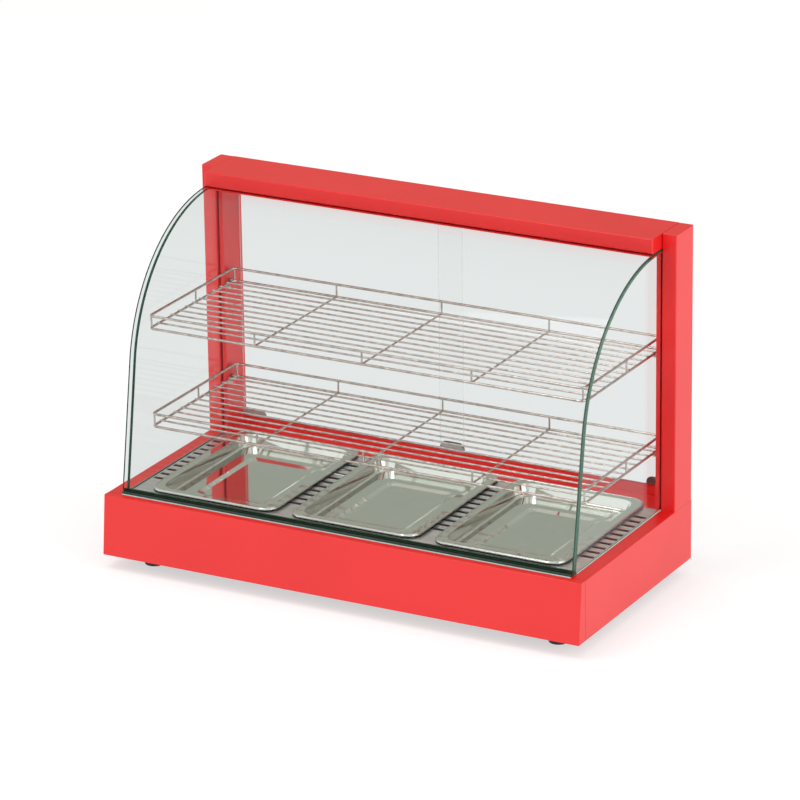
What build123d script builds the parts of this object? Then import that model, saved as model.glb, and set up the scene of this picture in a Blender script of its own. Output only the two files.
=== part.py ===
from build123d import *
from math import cos, radians, sin, sqrt, tan
import os

os.makedirs("parts", exist_ok=True)

# Curved glass food warmer for a shop counter. Millimetres, +Z up.
# +X is to the right seen from the front, the curved glass faces -Y.
# The origin is under the middle of the warmer, on the counter.

# Overall size
WIDTH = 900.0
DEPTH = 428.0
FOOT_H = 26.0
BASE_H = 105.0
TOTAL_H = 617.0
SHEET = 2.0
SEAT = 0.3

HALF_W = WIDTH / 2
HALF_D = DEPTH / 2
Z_BASE = FOOT_H
Z_DECK = FOOT_H + BASE_H
Z_LEDGE = Z_DECK - SHEET

# Base shell
FRONT_LEAN = 10.0
SEAM_IN = 24.0
SEAM_GAP = 0.8
RAIL_W = 26.0
FLANGE_W = 14.0
LEDGE_W = 10.0
UPSTAND_H = 12.0
CORNER_R = 2.0
SEAM_Y = SEAM_IN - HALF_D
INNER_HALF = HALF_W - RAIL_W
DECK_HALF = INNER_HALF - SEAT

# Posts at the back
COLUMN_D = 66.0
COLUMN_Y = HALF_D - COLUMN_D
UPRIGHT_IN = 13.0
UPRIGHT_FACE = 7.4
UPRIGHT_BACK = 2.0
JAMB_D = 16.0
LINER = 1.5
GROOVE_W = 1.2
GROOVE_DEPTH = 0.8
GROOVE_BACK = 9.0
UPRIGHT_X = INNER_HALF - UPRIGHT_IN
UPRIGHT_Y = COLUMN_Y + UPRIGHT_BACK
JAMB_Y = HALF_D - JAMB_D
GROOVE_Y = HALF_D - GROOVE_BACK

# Glass
GLASS = 5.0
GLASS_LEAN = 9.0
GLASS_FOOT_IN = 3.0
GLASS_FLAT = 29.3
LIP_R = 10.0
LIP_D = 14.5
SEAL_T = 1.0
SEAL_IN = 1.0
SIDE_LEAN = 8.8
SIDE_GAP = 1.5
SIDE_TOP_GAP = 0.76
SIDE_SHIFT = 8.25

# Header
HEADER_D = 102.0
LOWER_PLATE = 1.5

# Doors and their tracks
TRACK_D = 11.0
TRACK_H = 16.0
TRACK_FLOOR = 5.0
TRACK_WALL = 1.0
TRACK_SLOT = 4.0
UPPER_TRACK_H = 13.2
UPPER_CAP = 2.2
DOOR_T = 3.0
DOOR_LAP = 24.0
DOOR_END = 0.6
DOOR_LIFT = 0.5
PULL_W = 46.0
PULL_H = 13.7
PULL_R = 11.0
PULL_T = 1.0

# Food pans
PAN_MARGIN = 90.0
PAN_GAP = 27.0
PAN_ENDS = 103.0
PAN_Y = 4.5
PAN_CORNER = 30.0
PAN_T = 1.2
PAN_LIP = 1.5
PAN_RIM = 16.0
PAN_RIM_H = 6.0
PAN_STEP = 19.0
PAN_STEP_IN = 5.0
PAN_BEAD = 21.0
PAN_BEAD_IN = 39.0
PAN_DEPTH = 24.5
PAN_SLOPE_X = 47.0
PAN_SLOPE_Y = 58.0
PAN_WELL_R = 24.0
PAN_FLOOR_R = 12.0
PAN_STEP_R = 6.0
PAN_BEAD_R = 3.0
CUT_CLEAR = 3.5

# Air slots in the deck
SLOT_ROWS = 10
SLOT_PITCH = 21.9
SLOT_W = 8.5
SIDE_SLOT_IN = 23.0
SIDE_SLOT_L = 30.0
MID_SLOT_L = 38.0

# Wire racks
RACK_SIDE = 4.0
RACK_GLASS_GAP = 16.2
RACK_BACK_IN = 39.0
RACK_LOWER_RISE = 98.75
RACK_UPPER_DROP = 185.9
GUARD_H = 22.3
FRAME_WIRE = 4.4
LONG_WIRE = 3.2
CROSS_WIRE = 3.4
POST_WIRE = 3.2
WIRE_SPACES = 12
RACK_BENDS = 8.0
POST_GAP = 0.25
PEG_D = 5.0
PEG_L = 8.0
FRONT_PEG_BACK = 4.0
REAR_PEG_BACK = 12.5

# Heating and controls
ELEMENT_D = 8.0
ELEMENT_Z = 82.0
ELEMENT_BEND = 30.0
ELEMENT_LEFT_IN = 120.0
ELEMENT_RIGHT_IN = 90.0
ELEMENT_MIDS = (-75.0, 55.0)
SHIELD_Z = 50.0
SHIELD_IN_X = 70.0
SHIELD_IN_Y = 64.0
SPACER_X = 300.0
SPACER_Y = 120.0
SPACER_R = 5.0
SADDLE_T = 3.0
SADDLE_H = 40.0
SADDLE_FRONT = -125.0
SADDLE_BACK = 105.0
SADDLE_XS = (-260.0, 0.0, 260.0)
BRACKET_IN = 112.0
RECESS_IN = 82.0
RECESS_W = 236.0
RECESS_Z0 = 52.0
RECESS_Z1 = 112.0
RECESS_DEPTH = 24.0
RECESS_FLANGE = 6.0
VENT_X = -200.0
VENT_L = 48.0
VENT_W = 5.0
VENT_PITCH_X = 62.0
VENT_PITCH_Z = 14.0
VENT_COLUMNS = 6
VENT_ROWS = 4
CONTROL_Z = 82.0
THERMOSTAT_IN = 46.0
POWER_IN = 106.0
LAMP_SWITCH_IN = 142.0
PILOT_IN = 174.0
GLAND_IN = 210.0
SHAFT_R = 3.0
SHAFT_FIT = 0.08
KNOB_R = 21.0
KNOB_GRIP_R = 15.5
KNOB_H = 15.0
ROCKER_W = 16.0
ROCKER_TILT = 8.0
ROCKER_H = 24.0
ROCKER_FACE = 3.6
ROCKER_WAIST = 2.0
ROCKER_BACK = 4.0

# Feet and screws
FOOT_IN_X = 66.0
FOOT_IN_Y = 60.0
FOOT_R = 17.0
FOOT_TOP_R = 19.0
SCREW_R = 2.0
SCREW_HEAD_R = 4.5

# Places worked out from the sizes above
GLASS_TOP = TOTAL_H - RAIL_W
GLASS_FOOT_Y = SEAM_Y + GLASS_FOOT_IN
GLASS_BACK_Y = UPRIGHT_Y
LIP_END_Y = GLASS_FOOT_Y + LIP_D
lean_y = sin(radians(GLASS_LEAN))
lean_z = cos(radians(GLASS_LEAN))
slope = lean_y / lean_z
rise = GLASS_TOP - Z_DECK
# The bend's radius is the one that joins the leaning sheet to the flat strip at the top
centre_y = GLASS_BACK_Y - GLASS_FLAT
GLASS_R = (centre_y - GLASS_FOOT_Y - rise * slope) / (lean_z - slope * (1 - lean_y))
centre_z = GLASS_TOP - GLASS_R
Z_FLANGE = GLASS_TOP + SEAT
HEADER_Y = HALF_D - HEADER_D
Z_PLATE_TOP = GLASS_TOP - GLASS - SEAT
Z_PLATE = Z_PLATE_TOP - LOWER_PLATE
TRACK_Y = HALF_D - TRACK_D
TRACK_HALF = UPRIGHT_X - SEAT
DOOR_HALF = UPRIGHT_X - DOOR_END
FRONT_SLOT_Y = TRACK_Y + TRACK_WALL
REAR_SLOT_Y = FRONT_SLOT_Y + TRACK_SLOT + TRACK_WALL
PAN_PITCH = (WIDTH - PAN_MARGIN) / 3
PAN_W = PAN_PITCH - PAN_GAP
PAN_L = DEPTH - PAN_ENDS
PAN_XS = (-PAN_PITCH, 0.0, PAN_PITCH)
SIDE_SLOT_X = INNER_HALF - SIDE_SLOT_IN
MID_SLOT_X = PAN_PITCH / 2
Z_RIM = Z_DECK + PAN_RIM_H
MOUTH_W = PAN_W - 2 * PAN_RIM
MOUTH_L = PAN_L - 2 * PAN_RIM
RACK_X = UPRIGHT_X - RACK_SIDE
RACK_BACK = HALF_D - RACK_BACK_IN
RACK_LOWER_Z = Z_DECK + RACK_LOWER_RISE
RACK_UPPER_Z = GLASS_TOP - RACK_UPPER_DROP
# Both racks stand clear of the bent glass in front of the upper guard rail
guard_top = RACK_UPPER_Z + GUARD_H + FRAME_WIRE / 2
RACK_FRONT = centre_y - sqrt((GLASS_R - GLASS) ** 2 - (guard_top - centre_z) ** 2) + RACK_GLASS_GAP
WIRE_PITCH = (RACK_BACK - RACK_FRONT) / WIRE_SPACES
FRONT_PEG_Y = UPRIGHT_Y + FRONT_PEG_BACK
REAR_PEG_Y = UPRIGHT_Y + REAR_PEG_BACK
ELEMENT_LEFT = ELEMENT_LEFT_IN - HALF_W
ELEMENT_RIGHT = HALF_W - ELEMENT_RIGHT_IN
BRACKET_X = HALF_W - BRACKET_IN
SHIELD_X = HALF_W - SHIELD_IN_X
SHIELD_Y = HALF_D - SHIELD_IN_Y
FLOOR_Y = HALF_D - SHEET - RECESS_DEPTH
RECESS_X1 = HALF_W - RECESS_IN
RECESS_X0 = RECESS_X1 - RECESS_W
THERMOSTAT_X = RECESS_X0 + THERMOSTAT_IN
POWER_X = RECESS_X0 + POWER_IN
LAMP_SWITCH_X = RECESS_X0 + LAMP_SWITCH_IN
PILOT_X = RECESS_X0 + PILOT_IN
GLAND_X = RECESS_X0 + GLAND_IN
FOOT_X = HALF_W - FOOT_IN_X
FOOT_Y = HALF_D - FOOT_IN_Y


def save(builder, name):
    """Label a finished piece and write it out."""
    builder.part.label = name
    export_step(builder.part, f"parts/{name}.step")


def slab(x0, x1, y0, y1, z0, z1, mode=Mode.ADD):
    """Add or cut a plain block between two corners."""
    with Locations(((x0 + x1) / 2, (y0 + y1) / 2, (z0 + z1) / 2)):
        Box(abs(x1 - x0), abs(y1 - y0), abs(z1 - z0), mode=mode)


def rod_x(x0, x1, y, z, radius, mode=Mode.ADD):
    """Add or cut a round bar that lies along X."""
    with Locations(((x0 + x1) / 2, y, z)):
        Cylinder(radius, abs(x1 - x0), rotation=(0, 90, 0), mode=mode)


def rod_y(x, y0, y1, z, radius, mode=Mode.ADD):
    """Add or cut a round bar that lies along Y."""
    with Locations((x, (y0 + y1) / 2, z)):
        Cylinder(radius, abs(y1 - y0), rotation=(90, 0, 0), mode=mode)


def rod_z(x, y, z0, z1, radius, mode=Mode.ADD):
    """Add or cut a round bar that stands along Z."""
    with Locations((x, y, (z0 + z1) / 2)):
        Cylinder(radius, abs(z1 - z0), mode=mode)


def front_y(z):
    """Outer face of the leaning front cover at height z."""
    return -HALF_D + FRONT_LEAN * (z - Z_BASE) / BASE_H


def pan_cutouts():
    """Cut the three pan openings through whatever sheet is being built."""
    for x in PAN_XS:
        slab(
            x - MOUTH_W / 2 - CUT_CLEAR,
            x + MOUTH_W / 2 + CUT_CLEAR,
            PAN_Y - MOUTH_L / 2 - CUT_CLEAR,
            PAN_Y + MOUTH_L / 2 + CUT_CLEAR,
            Z_LEDGE - 2 * SHEET,
            Z_DECK + SHEET,
            mode=Mode.SUBTRACT,
        )


# Base shell

with BuildPart() as front_cover:
    with BuildSketch(Plane.YZ.offset(-HALF_W)):
        with BuildLine():
            Polyline(
                (front_y(Z_BASE), Z_BASE),
                (front_y(Z_DECK), Z_DECK),
                (SEAM_Y, Z_DECK),
                (SEAM_Y, Z_BASE),
                close=True,
            )
        make_face()
    extrude(amount=WIDTH)
    front_edges = front_cover.faces().sort_by(Axis.Y)[0].edges()
    fillet(front_edges.filter_by(lambda e: e.center().Z > Z_BASE + SHEET), radius=CORNER_R)
    with BuildSketch(Plane.YZ.offset(-HALF_W + SHEET)):
        with BuildLine():
            Polyline(
                (front_y(Z_BASE) + SHEET, Z_BASE + SHEET),
                (front_y(Z_LEDGE) + SHEET, Z_LEDGE),
                (SEAM_Y + SHEET, Z_LEDGE),
                (SEAM_Y + SHEET, Z_BASE + SHEET),
                close=True,
            )
        make_face()
    extrude(amount=WIDTH - 2 * SHEET, mode=Mode.SUBTRACT)
    # The return under the deck's front edge, and the shelf that carries it
    slab(-HALF_W + SHEET, HALF_W - SHEET, SEAM_Y - SHEET, SEAM_Y, Z_LEDGE - SHEET, Z_LEDGE)
    ledge_half = INNER_HALF - LEDGE_W + SHEET - SEAT
    slab(-ledge_half, ledge_half, SEAM_Y - SHEET, SEAM_Y + LEDGE_W, Z_LEDGE - SHEET, Z_LEDGE)
    # The bottom flange stops short of the back edge
    slab(-HALF_W, HALF_W, front_y(Z_BASE) + FLANGE_W, SEAM_Y, Z_BASE, Z_BASE + SHEET,
         mode=Mode.SUBTRACT)
    slab(-HALF_W, -HALF_W + SHEET, front_y(Z_BASE) + FLANGE_W, SEAM_Y, Z_BASE, Z_BASE + SHEET)
    slab(HALF_W - SHEET, HALF_W, front_y(Z_BASE) + FLANGE_W, SEAM_Y, Z_BASE, Z_BASE + SHEET)
save(front_cover, "front_cover")


def side_panel(side, name):
    """Side of the base: outer web, top rail, deck ledge and bottom flange."""
    outer = side * HALF_W
    start = SEAM_Y + SEAM_GAP
    stop = HALF_D - SHEET - SEAT
    with BuildPart() as panel:
        slab(outer - side * SHEET, outer, start, HALF_D, Z_BASE, Z_DECK)
        slab(side * INNER_HALF, outer, start, HALF_D, Z_LEDGE, Z_DECK)
        slab(side * (INNER_HALF - LEDGE_W + SHEET), side * (INNER_HALF + SHEET), start, stop,
             Z_LEDGE - SHEET, Z_LEDGE)
        slab(outer - side * FLANGE_W, outer, start, stop, Z_BASE, Z_BASE + SHEET)
        rail_edge = panel.edges().filter_by(Axis.Y).group_by(Axis.Z)[-1].sort_by(Axis.X)
        fillet(rail_edge[-1] if side > 0 else rail_edge[0], radius=CORNER_R / 2)
    save(panel, name)


side_panel(-1, "side_panel_left")
side_panel(1, "side_panel_right")

REAR_SCREWS = 6
REAR_SCREW_IN = 50.0
REAR_SCREW_R = 1.6
REAR_SCREW_Z = Z_BASE + 2 * SHEET + UPSTAND_H / 2
screw_pitch = (WIDTH - 2 * REAR_SCREW_IN) / (REAR_SCREWS - 1)
REAR_SCREW_XS = [REAR_SCREW_IN - HALF_W + i * screw_pitch for i in range(REAR_SCREWS)]

with BuildPart() as base_pan:
    pan_x = HALF_W - SHEET - SEAT
    back = HALF_D - SHEET - SEAT
    z_floor = Z_BASE + SHEET
    slab(-pan_x, pan_x, front_y(z_floor) + SHEET + 2 * SEAT, back, z_floor, z_floor + SHEET)
    for side in (-1, 1):
        slab(side * (pan_x - SHEET), side * pan_x, SEAM_Y + LEDGE_W, back,
             z_floor + SHEET, z_floor + SHEET + UPSTAND_H)
    slab(-pan_x, pan_x, back - SHEET, back, z_floor + SHEET, z_floor + SHEET + UPSTAND_H)
    for x in (-FOOT_X, FOOT_X):
        for y in (-FOOT_Y, FOOT_Y):
            rod_z(x, y, z_floor, z_floor + SHEET, SCREW_R + SEAT, mode=Mode.SUBTRACT)
    for x in REAR_SCREW_XS:
        rod_y(x, back - SHEET, back, REAR_SCREW_Z, REAR_SCREW_R + SEAT, mode=Mode.SUBTRACT)
save(base_pan, "base_pan")

HEAD_R = 3.5
HEAD_T = 1.2

with BuildPart() as rear_panel:
    inner = HALF_W - FLANGE_W - SEAT
    slab(-HALF_W + SHEET + SEAT, HALF_W - SHEET - SEAT, HALF_D - SHEET, HALF_D, Z_BASE, Z_LEDGE)
    slab(-inner, inner, HALF_D - FLANGE_W, HALF_D, Z_BASE, Z_BASE + SHEET)
    slab(-ledge_half, ledge_half, HALF_D - FLANGE_W, HALF_D, Z_LEDGE - SHEET, Z_LEDGE)
    slab(RECESS_X0, RECESS_X1, HALF_D - SHEET, HALF_D, RECESS_Z0, RECESS_Z1, mode=Mode.SUBTRACT)
    # Rows of air slots away from the controls
    with BuildSketch(Plane.XZ.offset(-HALF_D)):
        with Locations((VENT_X, CONTROL_Z)):
            with GridLocations(VENT_PITCH_X, VENT_PITCH_Z, VENT_COLUMNS, VENT_ROWS):
                SlotOverall(VENT_L, VENT_W)
    extrude(amount=SHEET, mode=Mode.SUBTRACT)
    for x in REAR_SCREW_XS:
        rod_y(x, HALF_D - SHEET, HALF_D, REAR_SCREW_Z, REAR_SCREW_R + SEAT, mode=Mode.SUBTRACT)
        rod_y(x, HALF_D - HEAD_T, HALF_D, REAR_SCREW_Z, HEAD_R + SEAT, mode=Mode.SUBTRACT)
save(rear_panel, "rear_panel")

with BuildPart() as rear_screws:
    for x in REAR_SCREW_XS:
        rod_y(x, HALF_D - HEAD_T, HALF_D, REAR_SCREW_Z, HEAD_R)
        rod_y(x, HALF_D - 3 * SHEET - HEAD_T, HALF_D - HEAD_T, REAR_SCREW_Z, REAR_SCREW_R)
        slab(x - HEAD_R, x + HEAD_R, HALF_D - HEAD_T / 2, HALF_D, REAR_SCREW_Z - SEAT,
             REAR_SCREW_Z + SEAT, mode=Mode.SUBTRACT)
save(rear_screws, "rear_screws")

# Deck and the shelf behind it

with BuildPart() as deck:
    slab(-DECK_HALF, DECK_HALF, SEAM_Y + SEAT, COLUMN_Y - SEAT, Z_LEDGE, Z_DECK)
    pan_cutouts()
    with BuildSketch(Plane.XY.offset(Z_LEDGE)):
        for x in (-SIDE_SLOT_X, SIDE_SLOT_X):
            with Locations((x, PAN_Y)):
                with GridLocations(0, SLOT_PITCH, 1, SLOT_ROWS):
                    Rectangle(SIDE_SLOT_L, SLOT_W)
        for x in (-MID_SLOT_X, MID_SLOT_X):
            with Locations((x, PAN_Y)):
                with GridLocations(0, SLOT_PITCH, 1, SLOT_ROWS):
                    Rectangle(MID_SLOT_L, SLOT_W)
    extrude(amount=SHEET, mode=Mode.SUBTRACT)
save(deck, "deck")

with BuildPart() as rear_shelf:
    slab(-DECK_HALF, DECK_HALF, COLUMN_Y, HALF_D, Z_LEDGE, Z_DECK)
    # A tongue under the deck's rear edge
    slab(-ledge_half, ledge_half, COLUMN_Y - LEDGE_W, COLUMN_Y + LEDGE_W, Z_LEDGE - SHEET, Z_LEDGE)
    pan_cutouts()
save(rear_shelf, "rear_shelf")

with BuildPart() as door_track_lower:
    slab(-TRACK_HALF, TRACK_HALF, TRACK_Y, HALF_D, Z_DECK, Z_DECK + TRACK_H)
    for y in (FRONT_SLOT_Y, REAR_SLOT_Y):
        slab(-TRACK_HALF, TRACK_HALF, y, y + TRACK_SLOT, Z_DECK + TRACK_FLOOR, Z_DECK + TRACK_H,
             mode=Mode.SUBTRACT)
save(door_track_lower, "door_track_lower")

# Posts


def column(side, name):
    """Folded post at the rear corner, closed at the top, open below."""
    outer = side * HALF_W
    inner = side * INNER_HALF
    with BuildPart() as post:
        slab(inner, outer, COLUMN_Y, HALF_D, Z_DECK, TOTAL_H)
        fillet(post.edges().filter_by(Axis.Z), radius=CORNER_R)
        fillet(post.edges().group_by(Axis.Z)[-1], radius=CORNER_R / 2)
        slab(inner + side * SHEET, outer - side * SHEET, COLUMN_Y + SHEET, HALF_D - SHEET,
             Z_DECK, TOTAL_H - SHEET, mode=Mode.SUBTRACT)
    save(post, name)


def upright(side, name):
    """Thin inner liner with a door jamb behind it, beside the glass slot."""
    face = UPRIGHT_X + UPRIGHT_FACE
    with BuildPart() as liner:
        with BuildSketch(Plane.XY.offset(Z_DECK)):
            with BuildLine():
                Polyline(
                    (side * UPRIGHT_X, UPRIGHT_Y),
                    (side * face, UPRIGHT_Y),
                    (side * face, JAMB_Y),
                    (side * DECK_HALF, JAMB_Y),
                    (side * DECK_HALF, HALF_D),
                    (side * UPRIGHT_X, HALF_D),
                    close=True,
                )
            make_face()
            with BuildLine():
                Polyline(
                    (side * (UPRIGHT_X + LINER), UPRIGHT_Y + LINER),
                    (side * (face - LINER), UPRIGHT_Y + LINER),
                    (side * (face - LINER), JAMB_Y + LINER),
                    (side * (DECK_HALF - LINER), JAMB_Y + LINER),
                    (side * (DECK_HALF - LINER), HALF_D - LINER),
                    (side * (UPRIGHT_X + LINER), HALF_D - LINER),
                    close=True,
                )
            make_face(mode=Mode.SUBTRACT)
        extrude(amount=Z_PLATE - Z_DECK)
        slab(side * UPRIGHT_X, side * (UPRIGHT_X + GROOVE_DEPTH), GROOVE_Y - GROOVE_W / 2,
             GROOVE_Y + GROOVE_W / 2, Z_DECK + TRACK_H, Z_PLATE - UPPER_TRACK_H,
             mode=Mode.SUBTRACT)
    save(liner, name)


def rack_pegs(side, name):
    """Pegs that hold each rack: one under the side wire, one over it."""
    reach = FRAME_WIRE / 2 + PEG_D / 2 + POST_GAP
    with BuildPart() as pegs:
        for z in (RACK_LOWER_Z, RACK_UPPER_Z):
            rod_x(side * (UPRIGHT_X - PEG_L), side * UPRIGHT_X, FRONT_PEG_Y, z - reach, PEG_D / 2)
            rod_x(side * (UPRIGHT_X - PEG_L), side * UPRIGHT_X, REAR_PEG_Y, z + reach, PEG_D / 2)
    save(pegs, name)


for side, word in ((-1, "left"), (1, "right")):
    column(side, f"column_{word}")
    upright(side, f"upright_{word}")
    rack_pegs(side, f"rack_pegs_{word}")

# Header between the posts

with BuildPart() as header_cover:
    slab(-DECK_HALF, DECK_HALF, HEADER_Y, HALF_D, Z_FLANGE, TOTAL_H)
    front_edges = header_cover.faces().sort_by(Axis.Y)[0].edges()
    fillet(front_edges, radius=CORNER_R)
    slab(-DECK_HALF, DECK_HALF, HALF_D - SHEET, HALF_D, Z_PLATE, Z_FLANGE)
    slab(-DECK_HALF + SHEET, DECK_HALF - SHEET, HEADER_Y + SHEET, HALF_D - SHEET,
         Z_FLANGE + SHEET, TOTAL_H - SHEET, mode=Mode.SUBTRACT)
    slab(-DECK_HALF + SHEET, DECK_HALF - SHEET, GLASS_BACK_Y + SHEET, HALF_D - SHEET,
         Z_FLANGE, Z_FLANGE + SHEET, mode=Mode.SUBTRACT)
save(header_cover, "header_cover")

WINDOW_X = 275.0
WINDOW_D = 30.0
WINDOW_Y1 = HALF_D - 19.0
WINDOW_Y0 = WINDOW_Y1 - WINDOW_D
LENS_LAP = 5.0
LAMP_R = 8.0
LAMP_Z = TOTAL_H - 2 * LAMP_R
LAMP_Y = (WINDOW_Y0 + WINDOW_Y1) / 2
HOLDER_T = 12.0

with BuildPart() as header_base:
    back = HALF_D - SHEET - SEAT
    slab(-DECK_HALF, DECK_HALF, HEADER_Y, back, Z_PLATE, Z_PLATE_TOP)
    slab(-DECK_HALF + SHEET + SEAT, DECK_HALF - SHEET - SEAT, back - LOWER_PLATE, back,
         Z_PLATE_TOP, Z_PLATE_TOP + UPSTAND_H)
    slab(-WINDOW_X, WINDOW_X, WINDOW_Y0, WINDOW_Y1, Z_PLATE, Z_PLATE_TOP, mode=Mode.SUBTRACT)
save(header_base, "header_base")

with BuildPart() as lamp_lens:
    slab(-WINDOW_X - LENS_LAP, WINDOW_X + LENS_LAP, WINDOW_Y0 - LENS_LAP, WINDOW_Y1 + LENS_LAP,
         Z_PLATE_TOP, Z_PLATE_TOP + SHEET)
save(lamp_lens, "lamp_lens")

with BuildPart() as lamp_tube:
    tube_end = WINDOW_X + 2 * LENS_LAP
    rod_x(-tube_end, tube_end, LAMP_Y, LAMP_Z, LAMP_R)
save(lamp_tube, "lamp_tube")

with BuildPart() as lampholders:
    for side in (-1, 1):
        holder = side * (tube_end + SEAT)
        slab(holder, holder + side * HOLDER_T, LAMP_Y - LAMP_R - SHEET, LAMP_Y + LAMP_R + SHEET,
             Z_PLATE_TOP, LAMP_Z + LAMP_R + SHEET)
save(lampholders, "lampholders")

with BuildPart() as door_track_upper:
    slab(-TRACK_HALF, TRACK_HALF, TRACK_Y, HALF_D, Z_PLATE - UPPER_TRACK_H, Z_PLATE)
    for y in (FRONT_SLOT_Y, REAR_SLOT_Y):
        slab(-TRACK_HALF, TRACK_HALF, y, y + TRACK_SLOT, Z_PLATE - UPPER_TRACK_H,
             Z_PLATE - UPPER_CAP, mode=Mode.SUBTRACT)
save(door_track_upper, "door_track_upper")

# Glass

foot_z = Z_DECK + SEAL_T
# The curled lip is a small arc between the leaning sheet and the flat foot
lip_z = foot_z + LIP_R
lip_y = GLASS_FOOT_Y + LIP_R / lean_z + (lip_z - Z_DECK) * slope


def glass_outline(inset):
    """Points and bend middles of the front glass, inset from its outer face."""
    big = GLASS_R - inset
    small = LIP_R - inset
    half = radians((90.0 - GLASS_LEAN) / 2)
    return {
        "back": (GLASS_BACK_Y, GLASS_TOP - inset),
        "top": (centre_y, centre_z + big),
        "mid": (centre_y - big * sin(half), centre_z + big * cos(half)),
        "arc": (centre_y - big * lean_z, centre_z + big * lean_y),
        "lip": (lip_y - small * lean_z, lip_z + small * lean_y),
        "curl": (lip_y - small * sin(half), lip_z - small * cos(half)),
        "foot": (lip_y, lip_z - small),
        "end": (LIP_END_Y, lip_z - small),
    }


with BuildPart() as front_glass:
    outside = glass_outline(0)
    inside = glass_outline(GLASS)
    with BuildSketch(Plane.YZ.offset(-DECK_HALF)):
        with BuildLine():
            Line(outside["back"], outside["top"])
            ThreePointArc(outside["top"], outside["mid"], outside["arc"])
            Line(outside["arc"], outside["lip"])
            ThreePointArc(outside["lip"], outside["curl"], outside["foot"])
            Line(outside["foot"], outside["end"])
            Line(outside["end"], inside["end"])
            Line(inside["end"], inside["foot"])
            ThreePointArc(inside["foot"], inside["curl"], inside["lip"])
            Line(inside["lip"], inside["arc"])
            ThreePointArc(inside["arc"], inside["mid"], inside["top"])
            Line(inside["top"], inside["back"])
            Line(inside["back"], outside["back"])
        make_face()
    extrude(amount=2 * DECK_HALF)
save(front_glass, "front_glass")

with BuildPart() as front_glass_seal:
    slab(-DECK_HALF + SEAL_IN, DECK_HALF - SEAL_IN, lip_y - SHEET, LIP_END_Y, Z_DECK, foot_z)
save(front_glass_seal, "front_glass_seal")


def side_glass(side, name):
    """Flat end pane whose front edge follows the curved front glass."""
    lean = radians(SIDE_LEAN)
    bend_r = GLASS_R - GLASS - SIDE_GAP
    middle = (centre_y + SIDE_SHIFT, Z_PLATE - SIDE_TOP_GAP - bend_r)
    bend = (middle[0] - bend_r * cos(lean), middle[1] + bend_r * sin(lean))
    start = (bend[0] - (bend[1] - Z_DECK) * tan(lean), Z_DECK)
    half = radians((90.0 - SIDE_LEAN) / 2)
    crown = (middle[0] - bend_r * sin(half), middle[1] + bend_r * cos(half))
    top = (middle[0], middle[1] + bend_r)
    back = JAMB_Y - SEAT
    with BuildPart() as pane:
        with BuildSketch(Plane.YZ.offset(side * DECK_HALF)):
            with BuildLine():
                Line(start, bend)
                ThreePointArc(bend, crown, top)
                Line(top, (back, top[1]))
                Line((back, top[1]), (back, Z_DECK))
                Line((back, Z_DECK), start)
            make_face()
        extrude(amount=-side * GLASS)
    save(pane, name)


side_glass(-1, "side_glass_left")
side_glass(1, "side_glass_right")

# Sliding doors at the back

door_low = Z_DECK + TRACK_FLOOR + DOOR_LIFT
door_high = Z_PLATE - UPPER_CAP - 2 * DOOR_LIFT
door_play = (TRACK_SLOT - DOOR_T) / 2


def door(side, slot_y, name):
    """One clear sliding pane: side is -1 for the left door, 1 for the right."""
    face = slot_y + door_play
    with BuildPart() as pane:
        slab(side * DOOR_HALF, -side * DOOR_LAP, face, face + DOOR_T, door_low, door_high)
        fillet(pane.edges().filter_by(Axis.Y), radius=CORNER_R)
    save(pane, name)


def door_pulls(side, plane_y, outward, name):
    """Two clear finger pulls bonded just above the lower track."""
    low = Z_DECK + TRACK_H + SEAT
    with BuildPart() as pulls:
        with BuildSketch(Plane.XZ.offset(-plane_y)):
            for x in (side * (DOOR_HALF - PULL_W / 2), -side * (DOOR_LAP - PULL_W / 2)):
                with BuildLine():
                    Polyline(
                        (x - PULL_W / 2, low),
                        (x + PULL_W / 2, low),
                        (x + PULL_W / 2, low + PULL_H - PULL_R),
                    )
                    RadiusArc(
                        (x + PULL_W / 2, low + PULL_H - PULL_R),
                        (x + PULL_W / 2 - PULL_R, low + PULL_H),
                        -PULL_R,
                    )
                    Line((x + PULL_W / 2 - PULL_R, low + PULL_H),
                         (x - PULL_W / 2 + PULL_R, low + PULL_H))
                    RadiusArc(
                        (x - PULL_W / 2 + PULL_R, low + PULL_H),
                        (x - PULL_W / 2, low + PULL_H - PULL_R),
                        -PULL_R,
                    )
                    Line((x - PULL_W / 2, low + PULL_H - PULL_R), (x - PULL_W / 2, low))
                make_face()
        extrude(amount=-outward * PULL_T)
    save(pulls, name)


front_door_face = FRONT_SLOT_Y + door_play
rear_door_face = REAR_SLOT_Y + door_play + DOOR_T
door(-1, FRONT_SLOT_Y, "door_left")
door(1, REAR_SLOT_Y, "door_right")
door_pulls(-1, front_door_face, -1, "door_left_pulls")
door_pulls(1, rear_door_face, 1, "door_right_pulls")

# Wire racks


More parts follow.
